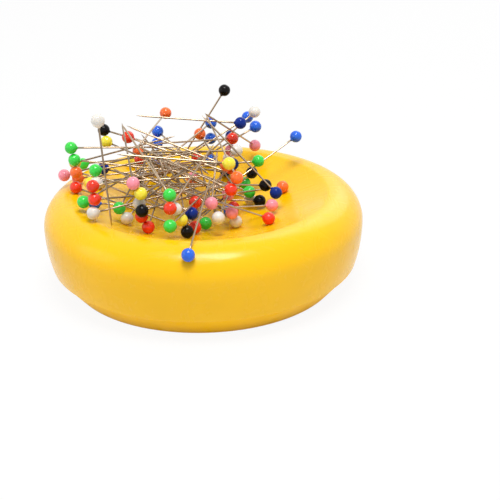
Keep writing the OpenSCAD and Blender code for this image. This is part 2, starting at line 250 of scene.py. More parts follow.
class Finish:
    """A procedural material that is put together node by node."""

    def __init__(self, name):
        self.material = bpy.data.materials.new(name)
        self.material.use_nodes = True
        self.tree = self.material.node_tree
        self.shader = self.tree.nodes["Principled BSDF"]
        self.place = self.add("ShaderNodeTexCoord").outputs["Object"]

    def add(self, kind, **settings):
        """A new node of a kind, with its settings."""
        node = self.tree.nodes.new(kind)
        for key, value in settings.items():
            setattr(node, key, value)
        return node

    def link(self, source, target):
        """A link from an output to an input."""
        self.tree.links.new(source, target)

    def set(self, **values):
        """Plain values on the shader's own sockets."""
        for key, value in values.items():
            self.shader.inputs[key.replace("_", " ")].default_value = value

    def noise(self, scale, detail, rough=0.5, stretch=None, warp=0.0, source=None):
        """Noise over the piece's own coordinates, stretched if asked. Scale is in lumps per metre."""
        place = source or self.place
        if stretch:
            mapping = self.add("ShaderNodeMapping")
            mapping.inputs["Scale"].default_value = stretch
            self.link(place, mapping.inputs["Vector"])
            place = mapping.outputs["Vector"]
        node = self.add("ShaderNodeTexNoise")
        node.inputs["Scale"].default_value = scale
        node.inputs["Detail"].default_value = detail
        node.inputs["Roughness"].default_value = rough
        node.inputs["Distortion"].default_value = warp
        self.link(place, node.inputs["Vector"])
        return node.outputs["Fac"]

    def span(self, value, low, high, start=NOISE_RANGE[0], stop=NOISE_RANGE[1]):
        """The value from start to stop spread over low to high, held at the ends."""
        node = self.add("ShaderNodeMapRange")
        node.inputs["From Min"].default_value = start
        node.inputs["From Max"].default_value = stop
        node.inputs["To Min"].default_value = low
        node.inputs["To Max"].default_value = high
        self.link(value, node.inputs["Value"])
        return node.outputs["Result"]

    def maths(self, operation, first, second):
        """One operation on two numbers or sockets."""
        node = self.add("ShaderNodeMath", operation=operation)
        for socket, value in zip(node.inputs, (first, second)):
            if isinstance(value, (int, float)):
                socket.default_value = value
            else:
                self.link(value, socket)
        return node.outputs["Value"]

    def tint(self, share, first, second):
        """Mix of two colours, which are tuples or sockets, by a share."""
        node = self.add("ShaderNodeMix", data_type="RGBA")
        self.link(share, node.inputs["Factor"])
        colours = [socket for socket in node.inputs if socket.type == "RGBA"]
        for socket, value in zip(colours, (first, second)):
            if isinstance(value, tuple):
                socket.default_value = value
            else:
                self.link(value, socket)
        return next(socket for socket in node.outputs if socket.type == "RGBA")

    def colour(self, socket):
        """The socket as the surface's colour."""
        self.link(socket, self.shader.inputs["Base Color"])

    def tones(self, share, colour, dark, bright):
        """The surface's colour, from a darker to a brighter shade of one colour by a share."""
        self.colour(self.tint(share, shade(colour, dark), shade(colour, bright)))

    def gloss(self, socket):
        """The socket as the surface's roughness."""
        self.link(socket, self.shader.inputs["Roughness"])

    def from_axis(self):
        """Distance of each place from the bowl's axis."""
        split = self.add("ShaderNodeSeparateXYZ")
        self.link(self.place, split.inputs["Vector"])
        flat = self.add("ShaderNodeCombineXYZ")
        for axis in "XY":
            self.link(split.outputs[axis], flat.inputs[axis])
        reach = self.add("ShaderNodeVectorMath", operation="LENGTH")
        self.link(flat.outputs["Vector"], reach.inputs[0])
        return reach.outputs["Value"]

    def relief(self, height, depth, before=None):
        """A bump from a height, in metres of depth, on top of another if there is one."""
        node = self.add("ShaderNodeBump")
        node.inputs["Strength"].default_value = 1.0
        node.inputs["Distance"].default_value = depth
        self.link(height, node.inputs["Height"])
        if before is not None:
            self.link(before, node.inputs["Normal"])
        self.link(node.outputs["Normal"], self.shader.inputs["Normal"])
        return node.outputs["Normal"]


def shade(colour, factor):
    """A colour made lighter or darker by a factor, as a tuple with alpha."""
    return tuple(min(1.0, part * factor) for part in colour[:3]) + (1.0,)


def moulded_plastic(name, colour, looks, in_dish):
    """Glossy moulded plastic: slow drift in tone, flow marks, handling scuffs, and pin scratches that fade
    out before the dish's edge. The cover, which has no dish, is duller, because its tool isn't polished."""
    finish = Finish(name)
    drift = finish.span(finish.noise(scale=22.0, detail=2.0), low=0.0, high=1.0)
    tone = finish.tint(drift, shade(colour, 1.0 - looks.tone_drift),
                       shade(colour, 1.0 + looks.tone_drift))
    flow = finish.noise(scale=45.0, detail=4.0, stretch=(1.0, 1.0, 5.0), warp=0.6)
    flow = finish.span(flow, low=0.0, high=0.35, start=0.5, stop=0.8)
    finish.colour(finish.tint(flow, tone, shade(colour, looks.flow_shade)))
    along = finish.noise(scale=420.0, detail=2.0, rough=0.6, stretch=(1.0, 0.16, 0.5), warp=0.4)
    across = finish.noise(scale=380.0, detail=2.0, rough=0.6, stretch=(0.14, 1.0, 0.6), warp=0.5)
    marks = finish.maths("MAXIMUM", finish.span(along, 0.0, 1.0, *SCUFF_RANGE),
                         finish.span(across, 0.0, 1.0, *SCUFF_RANGE))
    duller = 0.0 if in_dish else looks.cover_dulling
    mist = finish.noise(scale=70.0, detail=4.0)
    mist = finish.span(mist, low=looks.gloss_low + duller, high=looks.gloss_high + duller)
    finish.gloss(finish.maths("ADD", mist, finish.maths("MULTIPLY", marks, looks.scuff_gloss)))
    peel = finish.relief(finish.noise(scale=260.0, detail=2.0), looks.peel_depth)
    if in_dish:
        edge = looks.outer_radius - looks.rim_round - looks.rim_land
        inside = finish.span(finish.from_axis(), low=1.0, high=0.0,
                             start=edge - looks.scuff_fade, stop=edge)
        marks = finish.maths("MULTIPLY", marks, inside)
    finish.relief(marks, -looks.scuff_depth, peel)
    finish.set(Specular_IOR_Level=looks.shine * (1.0 if in_dish else looks.cover_shine),
               Coat_Weight=looks.coat if in_dish else 0.0, Coat_Roughness=looks.coat_gloss,
               Subsurface_Weight=looks.glow, Subsurface_Scale=looks.glow_depth,
               Subsurface_Radius=BOWL_REACH)
    return finish.material


def head_plastic(name, colour, pins):
    """Polished ball head: even colour with a faint cloud, a near mirror surface and a little depth.
    Dark heads show less of what is round them than light ones."""
    finish = Finish(name)
    cloud = finish.span(finish.noise(scale=350.0, detail=2.0), low=0.0, high=1.0)
    finish.tones(cloud, colour, dark=0.9, bright=1.08)
    finish.gloss(finish.span(finish.noise(scale=900.0, detail=2.0), pins.gloss_low, pins.gloss_high))
    finish.relief(finish.noise(scale=420.0, detail=1.0), pins.head_wave)
    kept = pins.dark_share if max(colour[:3]) < pins.dark_level else 1.0
    finish.set(Specular_IOR_Level=pins.shine * kept, Coat_Weight=pins.head_coat * kept,
               Coat_Roughness=pins.coat_gloss, Subsurface_Weight=pins.head_glow,
               Subsurface_Scale=pins.glow_depth, Subsurface_Radius=HEAD_REACH)
    return finish.material


def drawn_steel(name, pins):
    """Nickel-plated wire: drawing lines along the shaft, and a warm colour painted darker and lighter from
    pin to pin and round each shaft, as painted shade and painted reflection.
    """
    finish = Finish(name)
    uv = finish.add("ShaderNodeUVMap", uv_map=PIN_UV).outputs["UV"]
    lines = finish.noise(scale=60.0, detail=3.0, stretch=(1.0, 0.05, 1.0), source=uv)
    # Painted shade and painted reflection: slow noise round and along each shaft, with small patches,
    # spreads the wire's colour between a darker and a brighter copy
    painted_light_share = finish.noise(scale=1.7, detail=1.0, stretch=(1.0, 0.15, 1.0), source=uv)
    painted_light_share = finish.span(painted_light_share, low=0.0, high=0.7, start=0.36, stop=0.64)
    painted_light_patches = finish.span(finish.noise(scale=160.0, detail=3.0), low=0.0, high=0.3)
    painted_light_share = finish.maths("ADD", painted_light_share, painted_light_patches)
    # The darker copy is painted shade, the brighter copy painted reflection
    finish.tones(painted_light_share, pins.steel, dark=pins.steel_dark, bright=pins.steel_bright)
    finish.gloss(finish.span(lines, low=0.12, high=0.28))
    finish.relief(lines, 4 * MICRON)
    finish.set(Metallic=1.0, IOR=2.3)
    return finish.material


def ferrite(name, colour):
    """Sintered ferrite: matt dark grey with fine pores and a few rubbed places."""
    finish = Finish(name)
    grain = finish.noise(scale=2600.0, detail=4.0, rough=0.7)
    rub = finish.span(finish.noise(scale=90.0, detail=4.0), low=0.0, high=0.6, start=0.55, stop=0.75)
    finish.tones(rub, colour, dark=0.8, bright=2.2)
    finish.gloss(finish.span(grain, low=0.5, high=0.8))
    finish.relief(grain, 30 * MICRON)
    return finish.material


def plated_steel(name, colour, brushed):
    """Zinc-plated sheet or screw: fine grain, in one direction if brushed, and clouds of a cooler tone."""
    finish = Finish(name)
    grain = finish.noise(scale=1500.0, detail=3.0, stretch=(1.0, 0.08, 1.0) if brushed else None)
    cloud = finish.span(finish.noise(scale=120.0, detail=3.0), low=0.0, high=1.0)
    cooler = tuple(part * more for part, more in zip(colour[:3], COOLER)) + (1.0,)
    finish.colour(finish.tint(cloud, shade(colour, 0.85), cooler))
    finish.gloss(finish.span(grain, low=0.28, high=0.5))
    finish.relief(grain, 10 * MICRON)
    finish.set(Metallic=1.0)
    return finish.material


def foot_rubber(name, colour):
    """Soft rubber: matt black with a fine moulded grain and pale dust in patches."""
    finish = Finish(name)
    grain = finish.noise(scale=3000.0, detail=2.0)
    dust = finish.span(finish.noise(scale=300.0, detail=4.0), low=0.0, high=0.5, start=0.5, stop=0.75)
    finish.tones(dust, colour, dark=0.9, bright=3.0)
    finish.gloss(finish.span(grain, low=0.65, high=0.9))
    finish.relief(grain, 20 * MICRON)
    return finish.material


def dress(obj, material, body, node):
    """Gives a piece its material and its body, and hides the CAD node that it stands for."""
    obj.data.materials.clear()
    obj.data.materials.append(material)
    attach(obj, body)
    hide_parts(node)


def mark_creases(work, limit):
    """Makes the faces smooth but for open edges and edges sharper than the limit."""
    for face in work.faces:
        face.smooth = True
    for edge in work.edges:
        edge.smooth = len(edge.link_faces) == 2 and edge.calc_face_angle(0.0) < limit


def smooth_copy(name, node, limit):
    """A merged copy of a CAD node, smooth but for edges sharper than the limit."""
    mesh = NODES[node].data.copy()
    mesh.name = name
    work = bmesh.new()
    work.from_mesh(mesh)
    bmesh.ops.remove_doubles(work, verts=work.verts, dist=MERGE)
    mark_creases(work, limit)
    work.to_mesh(mesh)
    work.free()
    if mesh.has_custom_normals:
        mesh.attributes.remove(mesh.attributes["custom_normal"])
    obj = bpy.data.objects.new(name, mesh)
    bpy.context.scene.collection.objects.link(obj)
    return obj


def face_outwards(obj, limit):
    """Turns every closed part of a mesh outwards, and marks its edges sharper than the limit."""
    work = bmesh.new()
    work.from_mesh(obj.data)
    bmesh.ops.recalc_face_normals(work, faces=work.faces)
    work.normal_update()
    mark_creases(work, limit)
    work.to_mesh(obj.data)
    work.free()


def soften(obj, width, limit):
    """A bevel of two faces on the edges sharper than the limit, applied to the mesh."""
    bevel = obj.modifiers.new("Edge", "BEVEL")
    bevel.width = width
    bevel.segments = 2
    bevel.limit_method = "ANGLE"
    bevel.angle_limit = limit
    bevel.use_clamp_overlap = True
    bpy.context.view_layer.update()
    done = bpy.data.meshes.new_from_object(obj.evaluated_get(bpy.context.evaluated_depsgraph_get()))
    obj.modifiers.clear()
    obj.data = done


# Sizes and colours

def metres(name, description, default, precision=5):
    """A length in metres, shown with a number of decimals."""
    return FloatProperty(name=name, description=description, default=default, unit="LENGTH",
                         precision=precision)


def position(name, description, *default):
    """A place in metres, as x, y and z."""
    return FloatVectorProperty(name=name, description=description, default=default, unit="LENGTH",
                               subtype="TRANSLATION", size=3)


def degrees(name, description, amount):
    """An angle, given in degrees and kept in radians."""
    return FloatProperty(name=name, description=description, default=math.radians(amount),
                         subtype="ANGLE")


def portion(name, description, default):
    """A share or a strength."""
    return FloatProperty(name=name, description=description, default=default, subtype="FACTOR")


def watts(name, description, default):
    """The power of a lamp in watts."""
    return FloatProperty(name=name, description=description, default=default, unit="POWER")


def paint(name, description, *default):
    """A colour, as red, green and blue."""
    return FloatVectorProperty(name=name, description=description, default=default + (1.0,),
                               subtype="COLOR", size=4, min=0.0, max=1.0)


def head_paint(colour_name, *default):
    """The colour of the heads that go by its name."""
    return paint(colour_name.capitalize() + " heads", "Colour of the " + colour_name + " heads", *default)


def whole(name, description, default, least, most):
    """A number of things."""
    return IntProperty(name=name, description=description, default=default, min=least, max=most)


class BowlLooks(bpy.types.PropertyGroup):
    """Sizes and finish of the bowl. Lengths are those of the part's solids."""
    outer_radius: metres("Outer radius", "Radius at the widest part", 0.054)
    height: metres("Rim height", "Height of the rim above the table", 0.031)
    rim_round: metres("Rim round", "Radius from the wall over to the rim", 0.0095)
    rim_land: metres("Rim land", "Flat between the rim's round and the dish", 0.0015)
    edge_round: metres("Dish edge", "Radius that softens the dish's edge", 0.003)
    dish_depth: metres("Dish depth", "Depth of the dish below the rim", 0.009)
    wall: metres("Wall", "Thickness of the shell's wall", 0.0024)
    split_height: metres("Parting line", "Height of the parting line", 0.008)
    split_inset: metres("Parting inset", "How far the parting line lies inside the widest part", 0.002)
    lower_edge: metres("Lower edge", "Round of the shell's lower edge", 0.00035)
    steps: whole("Steps round", "Faces round the bowl", 288, 48, 400)
    colour: paint("Shell colour", "Colour of the moulded shell", 0.93, 0.525, 0.001)
    # Painted shade: the cover's yellow is a slightly darker copy of the shell's, to darken the lower band
    cover_colour: paint("Cover colour", "Colour of the base cover", 0.90, 0.50, 0.002)
    tone_drift: portion("Tone drift", "How far the tone drifts over the bowl", 0.04)
    gloss_low: portion("Gloss from", "Roughness where the plastic is smoothest", 0.2)
    gloss_high: portion("Gloss to", "Roughness where the plastic is dullest", 0.3)
    flow_shade: portion("Flow marks", "Brightness of the flow marks against the colour", 0.93)
    cover_dulling: portion("Cover dulling", "Roughness that the cover has above the shell's", 0.25)
    cover_shine: portion("Cover shine", "Share of the shell's reflection that the cover has", 0.3)
    scuff_gloss: portion("Scuff dulling", "Roughness that a scuff adds", 0.16)
    scuff_depth: metres("Scratch depth", "Depth of the pins' scratches in the dish", 0.000012, 6)
    scuff_fade: metres("Scratch fade", "Width inside the dish's edge where scratches fade out", 0.007)
    peel_depth: metres("Mould texture", "Depth of the slow waviness of the surface", 0.00002, 6)
    coat: portion("Polish", "Strength of the clear polish on the surface", 0.1)
    coat_gloss: portion("Polish roughness", "Roughness of the clear polish", 0.12)
    shine: portion("Shine", "Strength of the plastic's own reflection", 0.24)
    glow: portion("Glow", "Share of light that passes under the surface", 0.08)
    glow_depth: metres("Glow depth", "How far light goes under the surface", 0.002)
    crease: degrees("Crease angle", "Edges of the shell sharper than this stay sharp", 40.0)


class InsideLooks(bpy.types.PropertyGroup):
    """Rings and screw bosses under the dish."""
    rib: metres("Ring thickness", "Thickness of the rings", 0.0018)
    cup_radius: metres("Cup radius", "Inner radius of the ring round the magnet", 0.0304)
    cup_bottom: metres("Cup bottom", "Height of that ring's lower edge", 0.0114)
    seat_radius: metres("Outer seat", "Inner radius of the outer ring that the magnet touches", 0.0264)
    inner_seat_radius: metres("Inner seat", "Inner radius of the ring inside that one", 0.0128)
    seat_height: metres("Seat height", "Height of the magnet's upper face", 0.0188)
    boss_count: whole("Bosses", "Number of screw bosses", 4, 3, 6)
    boss_turn: degrees("First boss", "Direction of the first boss", 45.0)
    boss_circle: metres("Boss circle", "Radius of the circle of bosses", 0.039)
    boss_radius: metres("Boss radius", "Radius of a boss", 0.0033)
    boss_bottom: metres("Boss bottom", "Height of a boss's lower face", 0.007)
    boss_top: metres("Boss top", "Height at which a boss is sunk in the dish's wall", 0.0276)
    boss_steps: whole("Boss steps", "Faces round a boss", 32, 12, 64)
    pilot_radius: metres("Pilot radius", "Radius of the screw's hole", 0.0013)
    pilot_top: metres("Pilot top", "Height of the end of the screw's hole", 0.0178)


class PinLooks(bpy.types.PropertyGroup):
    """Sizes and finish of the pins."""
    head_radius: metres("Head radius", "Radius of the ball heads", 0.0021)
    wire_radius: metres("Wire radius", "Radius of the shafts", 0.0003)
    head_depth: metres("Wire in the head", "How far the wire goes past the head's middle", 0.0008)
    point_length: metres("Point", "Length of the ground point", 0.003)
    collar: metres("Collar", "Length of the bead of plastic where the wire enters", 0.00022)
    neck: portion("Neck", "Radius where the ball meets the bead, in radii of the wire", 1.9)
    gate_depth: portion("Gate depth", "Flattening of a head's top, in radii of the head", 0.042)
    gate_width: portion("Gate width", "Radius of the flattened gate spot, in radii of the head", 0.28)
    rings: whole("Head rings", "Rings of points from a head's neck to its top", 18, 8, 40)
    sides: whole("Head sides", "Faces round a head", 28, 12, 48)
    wire_sides: whole("Wire sides", "Faces round a shaft", 10, 6, 24)
    head_glow: portion("Head glow", "Share of light that passes into a head", 0.25)
    glow_depth: metres("Glow depth", "How far light goes into a head", 0.0012)
    head_wave: metres("Head waviness", "Depth of the slow waves in a head's surface", 0.0000012, 7)
    gloss_low: portion("Gloss from", "Roughness where a head is smoothest", 0.03)
    gloss_high: portion("Gloss to", "Roughness where a head is dullest", 0.09)
    shine: portion("Head shine", "Strength of a head's own reflection", 0.4)
    head_coat: portion("Head polish", "Strength of the clear polish on a head", 0.12)
    coat_gloss: portion("Polish roughness", "Roughness of the clear polish on a head", 0.05)
    dark_share: portion("Dark heads' share", "Share of shine and polish that dark heads keep", 0.3)
    dark_level: portion("Dark level", "Brightest part of a colour that still counts as dark", 0.3)
    steel: paint("Steel colour", "Colour of the plated wire", 0.455, 0.345, 0.235)
    # Painted shade and painted reflection on the wire: its colour is spread from this darker share to the
    # brighter one below
    steel_dark: portion("Tarnished", "Brightness of tarnished wire against the colour", 0.36)
    steel_bright: portion("Bright", "Brightness of untarnished wire against the colour", 1.36)
    red: head_paint("red", 0.82, 0.034, 0.006)
    white: head_paint("white", 0.74, 0.70, 0.64)
    green: head_paint("green", 0.035, 0.66, 0.06)
    blue: head_paint("blue", 0.010, 0.125, 0.72)
    black: head_paint("black", 0.005, 0.004, 0.004)
    pink: head_paint("pink", 0.94, 0.285, 0.36)
    yellow: head_paint("yellow", 0.86, 0.74, 0.04)
    orange: head_paint("orange", 0.93, 0.16, 0.02)
    navy: head_paint("navy", 0.005, 0.026, 0.25)


class BaseLooks(bpy.types.PropertyGroup):
    """Edges and colours of the base cover and of what is under the dish."""
    magnet_edge: metres("Magnet edge", "Width of the bevel on the magnet", 0.0004)
    plate_edge: metres("Plate edge", "Width of the bevel on the keeper plate", 0.00015)
    foot_edge: metres("Foot edge", "Width of the bevel on the feet", 0.0003)
    bevel: degrees("Bevel angle", "Edges sharper than this are bevelled", 50.0)
    ferrite: paint("Magnet colour", "Colour of the ring magnet", 0.045, 0.045, 0.05)
    zinc: paint("Plate colour", "Colour of the keeper plate and screws", 0.56, 0.57, 0.58)
    rubber: paint("Foot colour", "Colour of the rubber feet", 0.025, 0.025, 0.027)
    crease: degrees("Crease angle", "Edges sharper than this stay sharp", 32.0)


class StageLooks(bpy.types.PropertyGroup):
    """Floor, lamps and camera."""
    floor_size: metres("Floor size", "Width of the floor", 6.0)
    floor_colour: paint("Floor colour", "Colour of the floor", 0.86, 0.86, 0.86)
    floor_white: portion("Floor white", "Share of plain white in what the camera sees of the floor", 0.92)
    fill: portion("Fill", "Level of the light from all round", 0.485)
    key_place: position("Key lamp place", "Middle of the lamp above", 0.03, -0.18, 0.75)
    key_size: metres("Key lamp size", "Width of the lamp above", 0.38)
    key_power: watts("Key lamp power", "Power of the lamp above", 4.8)
    side_place: position("Side lamp place", "Middle of the lamp at the left", -0.65, -0.1, 0.3)
    side_size: metres("Side lamp size", "Width of the lamp at the left", 0.4)
    side_power: watts("Side lamp power", "Power of the lamp at the left", 0.5)
    rear_place: position("Rear lamp place", "Middle of the lamp behind", 0.3, 0.6, 0.45)
    rear_size: metres("Rear lamp size", "Width of the lamp behind", 0.5)
    rear_power: watts("Rear lamp power", "Power of the lamp behind", 0.85)
    lamp_aim: metres("Lamps' aim", "Height above the table that the lamps face", 0.02)
    elevation: degrees("Camera elevation", "Angle above the horizon", 23.24)
    distance: metres("Camera distance", "Distance from the target", 0.4)
    target_height: metres("Target height", "Height that the camera aims at", 0.015)
    roll: degrees("Camera roll", "Turn about the line of sight", 1.66)
    lens: FloatProperty(name="Lens", description="Focal length", default=83.74, unit="CAMERA")
    shift_x: portion("Shift sideways", "Sideways shift of the frame", 0.0926)
    shift_y: portion("Shift upwards", "Upward shift of the frame", -0.0324)


# Pieces

# Points on each stretch of the shell's half section, and the angle in degrees where its lower edge starts
DISH_POINTS = 60
EDGE_POINTS = 12
RIM_POINTS = 36
WALL_POINTS = 28
LIP_POINTS = 6
INSIDE_POINTS = 14
RING_GAP_POINTS = 8
MIDDLE_POINTS = 10
LIP_START = -15.0

# The bead under a head, from the axis to the neck: lengths in collars, radii in radii of the wire. The ball
# starts at a share of the angle to its neck
BEAD_OUTLINE = ((1.0, 0.0), (1.0, 1.15), (0.6, 1.6), (0.0, 1.767))
NECK_START = 0.9

# The ground point of a shaft, as shares of its length and of the wire's radius, and the rings of points on
# the wire behind it
POINT_OUTLINE = ((0.0, 0.0), (0.01, 0.07), (0.06, 0.16), (0.16, 0.30), (0.32, 0.50), (0.52, 0.70),
                 (0.76, 0.88), (1.0, 1.0))
WIRE_RINGS = 7


def shell_profile(looks, inner_looks):
    """Closed half section of the shell, in the order dish, edge, rim, wall, lower edge, inside and rings.
    Dish, edge, rim and wall are arcs that run into one another, and the inside lies a wall's thickness in.
    An arc that is h high over a half width w has the radius (w squared + h squared) / (2 h). The wall has
    that radius, and the dish has it less the edge's, so that dish and edge touch. The rings hang from the
    dish's underside."""
    radius, top, wall = looks.outer_radius, looks.height, looks.wall
    rim = radius - looks.rim_round
    edge = rim - looks.rim_land
    belly_z = top - looks.rim_round
    drop = belly_z - looks.split_height
    belly = (looks.split_inset ** 2 + drop ** 2) / (2 * looks.split_inset)
    dish = (edge ** 2 + looks.dish_depth ** 2) / (2 * looks.dish_depth) - looks.edge_round
    dish_z = top - looks.dish_depth + dish
    turn = math.degrees(math.asin(edge / (dish + looks.edge_round)))
    under = dish + wall

    def under_z(r):
        """Height of the dish's underside: its arc's middle less the root of (radius squared - r squared)."""
        return dish_z - math.sqrt(under ** 2 - r ** 2)

    belly_mid = (radius - belly, belly_z)
    low = math.degrees(math.asin((looks.split_height + looks.lower_edge - belly_z) / belly))
    outer_wall = bend(belly_mid, belly, 0.0, low, WALL_POINTS)
    lip = looks.lower_edge
    lip_mid = outer_wall[-1] - (lip, 0.0)
    inner_low = math.degrees(math.asin((looks.split_height - belly_z) / (belly - wall)))
    inner_edge = math.sqrt(under ** 2 - (dish_z - (top - wall)) ** 2)
    parts = [
        bend((0.0, dish_z), dish, -90.0, -90.0 + turn, DISH_POINTS)[:-1],
        bend((edge, top - looks.edge_round), looks.edge_round, 90.0 + turn, 90.0, EDGE_POINTS),
        bend((rim, belly_z), looks.rim_round, 90.0, 0.0, RIM_POINTS)[:-1],
        outer_wall,
        bend(lip_mid, lip, LIP_START, -90.0, LIP_POINTS),
        bend(belly_mid, belly - wall, inner_low, 0.0, INSIDE_POINTS),
        bend((rim, belly_z), looks.rim_round - wall, 0.0, 90.0, INSIDE_POINTS)[1:],
    ]
    inside = [(inner_edge, top - wall)]
    rings = ((inner_looks.cup_radius, inner_looks.cup_bottom),
             (inner_looks.seat_radius, inner_looks.seat_height),
             (inner_looks.inner_seat_radius, inner_looks.seat_height))
    for near, bottom in rings:
        far = near + inner_looks.rib
        inside += [(r, under_z(r)) for r in np.linspace(inside[-1][0], far, RING_GAP_POINTS)[1:]]
        inside += [(far, bottom), (near, bottom), (near, under_z(near))]
    inside += [(r, under_z(r)) for r in np.linspace(inside[-1][0], 0.0, MIDDLE_POINTS)[1:]]
    return np.concatenate(parts + [np.array(inside)])


def boss_profile(inner):
    """Half section of a screw boss: a straight post with a straight hole from below."""
    return [(0.0, inner.pilot_top), (inner.pilot_radius, inner.pilot_top),
            (inner.pilot_radius, inner.boss_bottom), (inner.boss_radius, inner.boss_bottom),
            (inner.boss_radius, inner.boss_top), (0.0, inner.boss_top)]


class PINBOWL_OT_shell(bpy.types.Operator):
    """Build the moulded shell with its rim, dish, rings and screw bosses"""
    bl_idname = "pinbowl.shell"
    bl_label = "Bowl shell"

    def execute(self, context):
        looks = context.scene.pinbowl_bowl
        inner = context.scene.pinbowl_inside
        points, faces = turned(shell_profile(looks, inner), looks.steps)
        boss_points, boss_faces = turned(boss_profile(inner), inner.boss_steps)
        for turn in inner.boss_turn + np.arange(inner.boss_count) * 2 * math.pi / inner.boss_count:
            middle = inner.boss_circle * np.array([math.cos(turn), math.sin(turn), 0.0])
            faces += [[corner + len(points) for corner in face] for face in boss_faces]
            points = np.concatenate([points, boss_points + middle])
        shell = mesh_object("bowl_shell_moulded", points, faces)
        face_outwards(shell, looks.crease)
        dress(shell, moulded_plastic("shell_plastic", looks.colour, looks, in_dish=True), BOWL_BODY,
              "bowl_shell")
        return {"FINISHED"}


class PINBOWL_OT_cover(bpy.types.Operator):
    """Build the base cover with its tapered band and locating lip"""
    bl_idname = "pinbowl.cover"
    bl_label = "Base cover"

    def execute(self, context):
        looks = context.scene.pinbowl_bowl
        base = context.scene.pinbowl_base
        cover = smooth_copy("base_cover_moulded", "base_cover", base.crease)
        # The cover's plastic takes the darker copy of the shell's yellow, which is painted shade
        dress(cover, moulded_plastic("cover_plastic", looks.cover_colour, looks, in_dish=False), BOWL_BODY,
              "base_cover")
        return {"FINISHED"}


class PINBOWL_OT_magnet(bpy.types.Operator):
    """Build the ring magnet and its keeper plate"""
    bl_idname = "pinbowl.magnet"
    bl_label = "Magnet and keeper plate"

    def execute(self, context):
        base = context.scene.pinbowl_base
        magnet = smooth_copy("ring_magnet_ferrite", "ring_magnet", base.crease)
        soften(magnet, base.magnet_edge, base.bevel)
        dress(magnet, ferrite("magnet_grain", base.ferrite), BOWL_BODY, "ring_magnet")
        plate = smooth_copy("keeper_plate_zinc", "keeper_plate", base.crease)
        soften(plate, base.plate_edge, base.bevel)
        dress(plate, plated_steel("plate_zinc", base.zinc, brushed=True), BOWL_BODY, "keeper_plate")
        return {"FINISHED"}


class PINBOWL_OT_fixings(bpy.types.Operator):
    """Build the screws and the rubber feet"""
    bl_idname = "pinbowl.fixings"
    bl_label = "Screws and feet"

    def execute(self, context):
        base = context.scene.pinbowl_base
        screws = smooth_copy("cover_screws_zinc", "cover_screws", base.crease)
        dress(screws, plated_steel("screw_zinc", base.zinc, brushed=False), BOWL_BODY, "cover_screws")
        feet = smooth_copy("rubber_feet_moulded", "rubber_feet", base.crease)
        soften(feet, base.foot_edge, base.bevel)
        dress(feet, foot_rubber("feet_matt", base.rubber), BOWL_BODY, "rubber_feet")
        return {"FINISHED"}


def head_profile(pins):
    """Lengths along the pin and radii of a head: a bead on the wire, then a ball, radius * (cos(t), sin(t)),
    whose top is lowered at the gate spot by depth * exp(-(distance from the axis / width) squared)."""
    radius, wire = pins.head_radius, pins.wire_radius
    neck_angle = math.asin(pins.neck * wire / radius)
    angle = np.linspace(math.pi - neck_angle * NECK_START, 0.0, pins.rings)
    lengths, radii = radius * np.cos(angle), radius * np.sin(angle)
    spot = np.exp(-(radii / (pins.gate_width * radius)) ** 2) * (lengths > 0)
    lengths = lengths - pins.gate_depth * radius * spot
    bead = np.array(BEAD_OUTLINE)
    lengths = np.concatenate([-radius - pins.collar * bead[:, 0], lengths])
    radii = np.concatenate([wire * bead[:, 1], radii])
    return lengths, radii


def wire_profile(pins, length):
    """Lengths from the tip and radii of a shaft: a slightly swelling ground point, drawn by its outline,
    then a wire of even radius that ends flat."""
    point = np.array(POINT_OUTLINE)
    rest = np.linspace(pins.point_length, length, WIRE_RINGS)[1:]
    lengths = np.concatenate([pins.point_length * point[:, 0], rest, [length]])
    radii = np.concatenate([pins.wire_radius * point[:, 1], np.full(len(rest), pins.wire_radius), [0.0]])
    return lengths, radii


def make_heads(name, middles, ways, colour_name, body, node):
    """Ball heads at their middles, turned along their pins, that stand for a CAD node of one colour."""
    pins = bpy.context.scene.pinbowl_pins
    lengths, radii = head_profile(pins)
    heads = mesh_object(name, *spun_along(middles, ways, lengths, radii, pins.sides))
    finish_name = "ball_plastic_" + colour_name
    material = bpy.data.materials.get(finish_name)
    if material is None:
        material = head_plastic(finish_name, getattr(pins, colour_name), pins)
    dress(heads, material, body, node)


def make_wires(name, tips, backs, body, node):
    """Shafts from their tips to their back ends, that stand for a CAD node."""
    pins = bpy.context.scene.pinbowl_pins
    lengths, radii = wire_profile(pins, float(np.linalg.norm(backs - tips, axis=1).mean()))
    wires = mesh_object(name, *spun_along(tips, backs - tips, lengths, radii, pins.wire_sides))
    material = bpy.data.materials.get("nickel_wire")
    if material is None:
        material = drawn_steel("nickel_wire", pins)
    dress(wires, material, body, node)


def head_places(tips, backs, depth):
    """Middles of the heads and unit ways of the pins, from the ends of the shafts."""
    ways = (backs - tips) / np.linalg.norm(backs - tips, axis=1, keepdims=True)
    return backs - ways * depth, ways


class PINBOWL_OT_heap(bpy.types.Operator):
    """Build the settled heap of pins that rides on the bowl"""
    bl_idname = "pinbowl.heap"
    bl_label = "Heap of pins"

    def execute(self, context):
        pins = context.scene.pinbowl_pins
        tips, backs = pin_lines("pin_shafts")
        middles, ways = head_places(tips, backs, pins.head_depth)
        for colour_name in HEAD_COLOURS:
            node = HEAD_NODE + colour_name
            balls = np.array([ball_middle(points) for points in islands(node)])
            apart = np.linalg.norm(balls[:, None, :] - middles[None, :, :], axis=2)
            nearest = apart.argmin(axis=1)
            if apart.min(axis=1).max() > MATCH_SHARE * pins.head_radius:
                raise RuntimeError("a head of " + node + " has no shaft")
            make_heads("heads_" + colour_name, middles[nearest], ways[nearest], colour_name, BOWL_BODY,
                       node)
        make_wires("heap_shafts", tips, backs, BOWL_BODY, "pin_shafts")
        return {"FINISHED"}


